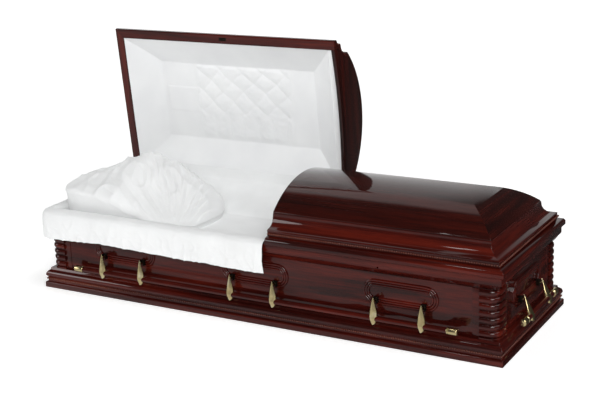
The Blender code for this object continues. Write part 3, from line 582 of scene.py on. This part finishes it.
# Handles
PIVOT_HEIGHT = 0.174
PIVOT_REACH = 0.015
EYE = 0.068
ARM_OFFSET = 0.098
ARM_TOP, ARM_LENGTH = -0.011, 0.104
BAR_RADIUS = 0.0116
BAR_SIZES = {True: (0.876, 14), False: (0.185, 32)}
TIP_COVER = 0.030
TIP_PROFILE = [(0.042, 0.0117), (0.0418, 0.0134), (0.0405, 0.0143), (0.0375, 0.0143),
               (0.0365, 0.0129), (0.0345, 0.0129), (0.0335, 0.0142), (0.0035, 0.0142),
               (0.0012, 0.0133), (0, 0.0114)]


def circle(radius, count=24):
    """Points round a circle."""
    return [(radius * math.cos(math.tau * k / count), radius * math.sin(math.tau * k / count))
            for k in range(count)]


def turned(name, profile, along_x):
    """A shape turned about the line through along_x, from (distance along X, radius) pairs."""
    y, z = along_x
    return swept(name, [[(x, y + a, z + b) for a, b in circle(radius)] for x, radius in profile])


def arm(name, along, distance, lean):
    """A cast arm: a leaf-shaped plate that hides its pivot and swells to a drop over the bar."""
    tilt = math.radians(lean)
    out = Vector((0, -math.cos(tilt), math.sin(tilt)))

    def middle(down):
        return Vector((along, -(distance + down * math.sin(tilt)),
                       PIVOT_HEIGHT - down * math.cos(tilt)))

    rings = []
    for step in range(25):
        share = step / 24
        down = ARM_TOP + ARM_LENGTH * share
        wide = 0.0018 + 0.0154 * math.sin(math.pi * share ** 1.8) ** 0.6
        deep = 0.0016 + 0.0126 * math.sin(math.pi * share ** 2.2) ** 0.7
        front = 0.0204 - 0.066 * (down - ARM_TOP) - 0.010 * eased_step(0.070, 0.093, down)
        forward = front - deep
        points = []
        for a, b in circle(1, 24):
            ridge = deep * (b * (1 - 0.16 * abs(a)) if b > 0 else b)
            facet = min(ridge, deep * (1 - 0.16 * eased_step(0.02, 0.065, down)))
            points.append(middle(down) + Vector((a * wide, 0, 0)) + out * (facet + forward))
        rings.append(points)
    plate = swept(name, rings)
    smooth(plate, 40)
    tongue = swept(name + "_tongue", [[middle(0) + Vector((a, 0, b)) + out * reach
                                       for a, b in circle(0.0046, 16)]
                                      for reach in (-0.004, 0.0150)])
    return joined([plate, tongue], name)


def handle(side):
    """A wooden bar with brass tips, and the arms that it swings on."""
    long_side = side in ("front", "back")
    half, lean = BAR_SIZES[long_side]
    distance = (HALF_WIDTH if long_side else HALF_LENGTH) - WALL_INSET + PIVOT_REACH
    tilt = math.radians(lean)
    axis = (-(distance + EYE * math.sin(tilt)), PIVOT_HEIGHT - EYE * math.cos(tilt))
    turn = Matrix.Rotation(math.radians(SIDE_TURNS[side]), 4, "Z")
    body = side + "_handle"
    bar = turned(body + "_bar", [(end * (half - TIP_COVER), BAR_RADIUS) for end in (-1, 1)], axis)
    smooth(bar, 40)
    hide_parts(side + "_swing_bar")
    given(placed(bar, turn), MOULDED, body)
    for end in (-1, 1):
        tip = turned(f"{body}_tip_{'left' if end < 0 else 'right'}",
                     [(end * (half - inward), radius) for inward, radius in TIP_PROFILE], axis)
        smooth(tip, 50)
        given(placed(tip, turn), BRASS, body)
    places = [group + end * ARM_OFFSET for group in (GROUPS if long_side else (0,))
              for end in (-1, 1)]
    for number, along in enumerate(places, 1):
        piece = placed(arm(f"{body}_arm_{number}", along, distance, lean), turn)
        node = f"{side}_arm_{number}"
        if node in frame["nodes"]:
            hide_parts(node)
        given(piece, BRASS, body)


# Cloth
def wander(x, y, z, scale, seed=0):
    """Smooth unevenness from -1 to 1 that repeats for the same place and seed."""
    return noise.noise(Vector((x * scale + seed * 7.3, y * scale - seed * 3.1, z * scale)))


def eased_step(low, high, value):
    """0 below low, 1 above high and smooth between them."""
    share = min(max((value - low) / (high - low), 0), 1)
    return share * share * (3 - 2 * share)


def along_points(points, value):
    """Reads a curve of (place, height) points, smoothly."""
    for (a, h), (b, k) in zip(points, points[1:]):
        if value <= b:
            return h + (k - h) * eased_step(a, b, value)
    return points[-1][1]


def across_section(section, v):
    """The place on a section of (y or inset, height) points at a share v of its steps."""
    share = v * (len(section) - 1)
    index = min(int(share), len(section) - 2)
    part = share - index
    return [a * (1 - part) + b * part for a, b in zip(section[index], section[index + 1])]


def cloth_grid(name, columns, rows, place):
    """A sheet of columns by rows, each crossing moved to place(u, v), u and v from 0 to 1."""
    deselect()
    bpy.ops.mesh.primitive_grid_add(x_subdivisions=columns, y_subdivisions=rows, size=1)
    piece = started(name)
    for vertex in piece.data.vertices:
        vertex.co = place(vertex.co.x + 0.5, vertex.co.y + 0.5)
    return piece


def thick(piece, thickness, offset):
    """Gives a sheet its thickness."""
    shell = piece.modifiers.new("thickness", "SOLIDIFY")
    shell.thickness = thickness
    shell.offset = offset
    apply_modifiers(piece)
    outwards(piece)
    smooth(piece, 60)


THROW_SECTION = [(0.0655, 0.296), (0.0645, 0.318), (0.0635, 0.334), (0.058, 0.345),
                 (0.047, 0.3505), (0.034, 0.3520), (0.020, 0.3505), (0.008, 0.3455),
                 (0.000, 0.3375), (-0.0035, 0.326), (-0.0045, 0.312), (-0.0040, 0.296),
                 (-0.0035, 0.280), (-0.0030, 0.265), (-0.0025, 0.250), (-0.0020, 0.236)]
THROW_HEM = [(0, -0.016), (0.35, -0.010), (0.8, 0.000), (1.08, -0.008), (1.3, 0)]
THROW_START = 0.064
THROW_ROUND_END = 0.60
THROW_CORNER = 0.048


def throw():
    """The throw laid over the front rim and round the head end, its hem uneven.

    Its section is (inset from the plinth's face, height), from the bed over the rim to the hem.
    """
    corner = HALF_LENGTH + THROW_START
    round_off = THROW_CORNER
    total = corner + THROW_ROUND_END

    def place(u, v):
        run = u * total
        inset, height = across_section(THROW_SECTION, v)
        fall = eased_step(0.45, 1.0, v)
        hem = along_points(THROW_HEM, run) + 0.004 * wander(run, 0, 0, 9, 1)
        height += hem * eased_step(0.5, 1.0, v)
        fold = 0.0026 * wander(run + 0.25 * height, 0, 0, 24, 2)
        crease = 1 - abs(wander(run - 0.35 * height, 0, height * 0.6, 26, 3))
        fold += 0.0080 * (crease ** 6 - 0.2)
        crease = 1 - abs(wander(run + 0.2 * height, 0, height * 0.5, 55, 16))
        fold += 0.0034 * (crease ** 5 - 0.2)
        puff = 0.0035 * (1 + wander(run, 0, 0, 6, 4))
        inset -= fall * (puff * math.sin(math.pi * min(v, 0.98)) + fold)
        height += (1 - fall) * 0.0022 * wander(run, v, 0, 22, 5)
        turn = min(max((run - corner + round_off) / round_off / 2, 0), 1) * math.pi / 2
        radius = max(round_off - inset, 0.002)
        middle = Vector((-(HALF_LENGTH - inset - radius), -(HALF_WIDTH - inset - radius)))
        if run < corner - round_off:
            return Vector((middle.x + corner - round_off - run, middle.y - radius, height))
        after = max(run - corner - round_off, 0)
        return Vector((middle.x - radius * math.sin(turn),
                       middle.y - radius * math.cos(turn) + after, height))

    piece = cloth_grid("throw_cloth", 300, 44, place)
    thick(piece, 0.0022, 0)
    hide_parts("throw")
    given(piece, CREPE, "casket_body")
    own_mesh(piece)


PILLOW_MIDDLE = Vector((-0.685, -0.018))
PILLOW_HALF = Vector((0.320, 0.250))
PILLOW_CREST = [(-1.02, 0.176), (-0.95, 0.192), (-0.90, 0.205), (-0.835, 0.220), (-0.785, 0.248),
                (-0.705, 0.272), (-0.615, 0.248), (-0.50, 0.196), (-0.38, 0.140), (-0.32, 0.120)]
GATHER = Vector((-0.405, -0.262))
BED_TOP = 0.2712


def pillow_reach(angle):
    """How far the pillow runs from its middle in a direction, in plan."""
    power = 2.3 if math.cos(angle) > 0 else 7
    along, across = abs(math.cos(angle)) / PILLOW_HALF.x, abs(math.sin(angle)) / PILLOW_HALF.y
    return (along ** power + across ** power) ** (-1 / power)


def pillow_form(x, y):
    """The height of the pillow's crown over the bed: a ridge, lower to its front and back."""
    front = 0.97 - 0.55 * min(max((x + 1.005) / 0.64, 0), 1)
    ridge = front + (1 - front) * eased_step(-0.268, -0.008, y)
    return along_points(PILLOW_CREST, x) * (ridge * (1 - 0.36 * eased_step(0, 0.23, y)))


def pleats(x, y):
    """The relief of the cloth: pleats that fan out from where it is gathered, and loose folds."""
    away = Vector((x, y)) - GATHER
    fan = math.atan2(away.y, -away.x)
    distance = away.length
    grow = eased_step(0.01, 0.10, distance) * (1 - 0.55 * eased_step(0.25, 0.55, distance))
    sharp = 0.30 + 0.70 * eased_step(0.45, 0.95, fan)
    sway = fan + 0.16 * wander(x, y, 0, 4, 6) + 0.05 * wander(x, y, 0, 13, 17)
    broad = abs(math.sin(sway * 9 + 0.6)) ** 0.7
    fine = abs(math.sin(sway * 29 + 2.0 + 2 * wander(x, y, 0, 6, 21))) ** 0.8
    relief = 0.023 * grow * sharp * (0.50 * broad + 0.50 * fine - 0.6)
    fold = 1 - abs(wander(sway * 0.55, distance * 0.35, 0, 6, 18))
    relief += 0.013 * (1 - sharp) * (fold ** 5 - 0.3)
    crush = 1 - abs(wander(x + 0.4 * y, y - 0.3 * x, 0, 11, 22))
    relief += 0.009 * (crush ** 6 - 0.25) * eased_step(0.05, 0.20, distance)
    return relief + 0.009 * wander(x, y, 0, 5, 7) + 0.0022 * wander(x, y, 0, 24, 8)


def pillow():
    """The bunched pillow: a ball drawn out to the pillow's plan and crown, then pleated."""
    deselect()
    bpy.ops.mesh.primitive_uv_sphere_add(segments=280, ring_count=150, radius=1)
    piece = started("pillow_bunched")
    for vertex in piece.data.vertices:
        a, b, c = vertex.co
        angle = math.atan2(b, a)
        share = math.hypot(a, b) ** 0.92
        shoulder = 0.56 - 0.34 * math.cos(angle)
        level = shoulder + (1 - shoulder) * (1 - min(share, 1) ** 2.8) ** 0.4
        if c < 0:
            below = min(-c / 0.55, 1)
            level = shoulder * (1 - below ** 1.5) ** 0.7
            share = 1 - 0.035 * below if c > -0.55 else share
        reach = pillow_reach(angle) * share
        x = PILLOW_MIDDLE.x + reach * math.cos(angle)
        y = PILLOW_MIDDLE.y + reach * math.sin(angle)
        rise = level * pillow_form(x, y) + pleats(x, y) * eased_step(0.0, 0.8, level)
        end = -0.984 - 0.030 * eased_step(0.075, 0.11, rise)
        vertex.co = (max(x, end), y, BED_TOP + max(rise, 0))
    outwards(piece)
    smooth(piece, 80)
    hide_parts("pillow")
    given(piece, CREPE, "casket_body")
    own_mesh(piece)


def bed():
    """The mattress under its fitted cover, a little crowned."""
    low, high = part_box("mattress")
    middle = (low + high) / 2
    half = (high - low) / 2

    def place(u, v):
        x = middle.x + (2 * u - 1) * half.x
        y = middle.y + (2 * v - 1) * half.y
        edge = min(u * 2 * half.x, (1 - u) * 2 * half.x, v * 2 * half.y, (1 - v) * 2 * half.y)
        drop = 0.022 * (1 - eased_step(0, 0.035, edge))
        swell = 0.003 * wander(x, y, 0, 4, 9) + 0.008 * math.sin(math.pi * v)
        return Vector((x, y, high.z - 0.002 - drop + swell))

    piece = cloth_grid("mattress_cover", 150, 60, place)
    only(piece)
    bpy.ops.object.mode_set(mode="EDIT")
    bpy.ops.mesh.select_all(action="DESELECT")
    bpy.ops.mesh.select_non_manifold()
    bpy.ops.mesh.extrude_region()
    work = bmesh.from_edit_mesh(piece.data)
    for vertex in work.verts:
        if vertex.select:
            vertex.co.z = low.z
    bmesh.update_edit_mesh(piece.data)
    bpy.ops.mesh.edge_face_add()
    outwards(piece)
    smooth(piece, 60)
    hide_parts("mattress")
    given(piece, CREPE, "casket_body")


LINING_INSET = 0.0535
LINING_STEP = 0.004
PLEAT_LENGTH = 0.024


def lining():
    """Crepe gathered in soft upright pleats round the inside of the walls."""
    corners = [Vector((x * (HALF_LENGTH - LINING_INSET), y * (HALF_WIDTH - LINING_INSET), 0))
               for x, y in ((-1, -1), (1, -1), (1, 1), (-1, 1))]
    rings = []
    run = 0
    for index, start in enumerate(corners):
        end = corners[(index + 1) % 4]
        way = (end - start).normalized()
        inward = Vector((-way.y, way.x, 0))
        count = int((end - start).length / LINING_STEP)
        for step in range(count):
            point = start + (end - start) * step / count
            deep = 0.0048
            if 3 < step < count - 3:
                sway = 2 * wander(run, 0, 0, 8, 10)
                deep += 0.0018 * math.sin(run * math.tau / PLEAT_LENGTH + sway)
            run += LINING_STEP
            ring_points = []
            for push, height in ((0.0, 0.0865), (0.0, 0.334), (deep * 0.8, 0.3335),
                                 (deep, 0.325), (deep, 0.28), (deep * 0.9, 0.0865)):
                ring_points.append(point + inward * (push + 0.0003) + Vector((0, 0, height)))
            rings.append(ring_points)
    piece = swept("side_lining", rings, closed=True)
    smooth(piece, 60)
    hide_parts("body_lining")
    given(piece, CREPE, "casket_body")


HINGE_SECTION = [(0.100, 0.2650), (0.150, 0.2830), (0.200, 0.2960), (0.240, 0.3080),
                 (0.270, 0.3220), (0.290, 0.3380), (0.305, 0.3480), (0.320, 0.3560),
                 (0.3305, 0.3680), (0.3335, 0.3850), (0.3350, 0.4020), (0.3360, 0.4140)]
HINGE_START, HINGE_LENGTH = -1.000, 1.064


def hinge_cloth():
    """The cloth that runs from the bed up over the hinge to the open lid's border.

    It hides the hinge and the back edge.
    Its section is (y, height).
    """
    def place(u, v):
        x = HINGE_START + HINGE_LENGTH * u
        y, z = across_section(HINGE_SECTION, v)
        loose = math.sin(math.pi * v) ** 0.7
        fold = 0.0030 * wander(x, v * 0.5, 0, 7, 14) + 0.0008 * wander(x, v * 0.2, 0, 40, 15)
        return Vector((x, y - loose * fold, z + loose * fold))

    piece = cloth_grid("hinge_cloth", 200, 40, place)
    thick(piece, 0.0012, 0)
    given(piece, CREPE, "casket_body")
    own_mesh(piece)


LID_LEFT, LID_RIGHT = -1.0094, 0.0539
LID_NEAR, LID_FAR = 0.0406, 0.6494
LID_LAP = 0.014
LID_SLOPE = 0.128
SHALLOW, DEEP = 0.0055, 0.098
TUFT_ALONG, TUFT_ACROSS = 0.112, 0.098


def lid_depth(x, s):
    """How deep the lid's cloth lies above the seam, for a place in the shut lid's plan.

    x runs along the lid and s from the hinge line to the front. The cloth laps up on the
    header's arch at the right, slopes in from all sides, and is tufted on its panel.
    """
    inner = LID_RIGHT - LID_LAP
    if x > inner:
        arch = 0.0262 * (1 - ((s - 0.345) / 0.3044) ** 2)
        return SHALLOW + arch * (x - LID_RIGHT + LID_LAP) / LID_LAP
    edge = min(x - LID_LEFT, inner - x, s - LID_NEAR, LID_FAR - s)
    if edge < LID_SLOPE:
        share = edge / LID_SLOPE
        return (SHALLOW + (DEEP - SHALLOW) * share + 0.006 * math.sin(share * math.pi)
                + 0.0012 * wander(x, s, 0, 7, 23))
    depth = DEEP
    # Diamonds above and upright channels below, on the middle of the panel
    tufted = (eased_step(-0.71, -0.68, x) * (1 - eased_step(-0.23, -0.20, x))
              * eased_step(0.17, 0.20, s) * (1 - eased_step(0.505, 0.52, s)))
    if tufted > 0:
        lower = 1 - eased_step(0.27, 0.31, s)
        u = (x + 0.455 + 0.010 * wander(x, s, 0, 11, 19)) / TUFT_ALONG
        v = (s - 0.30 + 0.010 * wander(x, s, 3, 11, 20)) / TUFT_ACROSS
        falling = abs(math.sin(math.pi * (u + v))) ** 0.5
        rising = abs(math.sin(math.pi * (u - v))) ** 0.6
        puffed = falling * (0.40 + 0.60 * rising)
        upright = abs(math.sin(math.pi * u * 1.5 + 0.5)) ** 0.5
        form = puffed * (1 - lower) + 0.8 * upright * lower
        crinkle = 0.5 * wander(x, s, 0, 24, 11) + 0.3 * wander(x, s, 0, 60, 12)
        depth -= tufted * (0.0082 * form + 0.004 * crinkle)
    beside = min(x + 0.865, -0.70 - x, s - 0.29, 0.41 - s)
    if beside > 0:
        # A plain stitched panel stands beside the tufts
        depth -= 0.0022 * eased_step(0.0, 0.006, beside)
    return depth + 0.0014 * wander(x, s, 0, 9, 13)


def lid_lining():
    """The open lid's cloth: a padded shadow-box frame sloping in from the wood, and a tufted
    panel.
    """
    def place(u, v):
        x = LID_LEFT + (LID_RIGHT - LID_LEFT) * u
        s = LID_NEAR + (LID_FAR - LID_NEAR) * v
        return Vector((x, PIVOT.y - 0.005 - s, SEAM + lid_depth(x, s)))

    piece = cloth_grid("lid_lining_tufted", 280, 170, place)
    thick(piece, 0.0015, 1)
    placed(piece, TO_OPEN)
    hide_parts("head_lid_lining")
    given(piece, LID_CREPE, "head_lid")


# Studio
def area_light(name, place, target, size, power):
    """A soft box that looks at a point."""
    lamp = bpy.data.lights.new(name, "AREA")
    lamp.shape = "RECTANGLE"
    lamp.size, lamp.size_y = size
    lamp.energy = power
    thing = bpy.data.objects.new(name, lamp)
    bpy.context.scene.collection.objects.link(thing)
    way = Vector(target) - Vector(place)
    turn = way.to_track_quat("-Z", "Y").to_matrix().to_4x4()
    thing.matrix_world = Matrix.Translation(place) @ turn


def sun(name, place, strength, spread):
    """An even light over the whole floor, softened by its spread in degrees."""
    lamp = bpy.data.lights.new(name, "SUN")
    lamp.energy = strength
    lamp.angle = math.radians(spread)
    thing = bpy.data.objects.new(name, lamp)
    bpy.context.scene.collection.objects.link(thing)
    turn = Vector(place).to_track_quat("Z", "Y").to_matrix().to_4x4()
    thing.matrix_world = Matrix.Translation(Vector(place) * 4) @ turn


def studio():
    """A pale floor, a dim surround that glows where gloss should mirror light, and lights."""
    world = bpy.data.worlds.new("surround")
    bpy.context.scene.world = world
    world.use_nodes = True
    tree = world.node_tree
    back = tree.nodes["Background"]
    way = add(tree, "TexCoord").outputs["Generated"]
    split = add(tree, "SeparateXYZ", [("Vector", way)])

    def fade(source, low, high, bright=1.0):
        band = add(tree, "MapRange", [("Value", source)],
                   inputs={"From Min": low, "From Max": high, "To Min": 0, "To Max": bright})
        band.interpolation_type = "SMOOTHSTEP"
        return band.outputs[0]

    behind = add(tree, "Math", [(0, fade(split.outputs["Y"], 0.36, 0.44)),
                                (1, fade(split.outputs["X"], -0.05, -0.35, 0.75))],
                 operation="MULTIPLY")
    below = add(tree, "Math", [(0, fade(split.outputs["Y"], 0.10, -0.30)),
                               (1, fade(split.outputs["Z"], 0.05, -0.12, 0.55))],
                operation="MULTIPLY")
    glow = add(tree, "Math", [(0, behind.outputs[0]), (1, below.outputs[0])], operation="ADD")
    glow = add(tree, "Math", [(0, glow.outputs[0])], operation="ADD", inputs={1: 0.04})
    tree.links.new(glow.outputs[0], back.inputs["Strength"])
    back.inputs["Color"].default_value = (1, 1, 1, 1)
    deselect()
    bpy.ops.mesh.primitive_plane_add(size=60, location=(0, 0, -0.0005))
    floor = started("floor")
    bpy.ops.object.transform_apply(location=True)
    material, tree, shader = surface("pale matt floor")
    shader.inputs["Base Color"].default_value = linear("FDFDFD")
    shader.inputs["Roughness"].default_value = 0.9
    shader.inputs["Specular IOR Level"].default_value = 0.1
    shader.inputs["Emission Color"].default_value = (1, 1, 1, 1)
    shader.inputs["Emission Strength"].default_value = 0.42
    floor.data.materials.append(material)
    floor.visible_glossy = False
    sun("key", (0.42, -0.78, 0.52), 1.65, 34)
    sun("fill from the head", (-0.86, -0.42, 0.34), 0.60, 24)
    sun("top", (0.55, 0.05, 0.85), 0.95, 40)
    area_light("near lamp", (2.3, -2.9, 2.5), (0.8, -0.3, 0.2), (0.14, 0.14), 6)
    area_light("far lamp", (1.9, -3.3, 1.1), (0.8, -0.3, 0.2), (0.10, 0.10), 3)
    area_light("edge box", (0.34, -1.05, 2.6), (1.1, -0.3, 0.4), (0.5, 0.2), 3)
    bpy.context.scene.view_settings.view_transform = "Standard"


place_camera()
studio()
body_wood()
hardware()
columns()
beads()
rings()
for handle_side in SIDE_TURNS:
    handle(handle_side)
bed()
lining()
pillow()
throw()
hinge_cloth()
lid_lining()
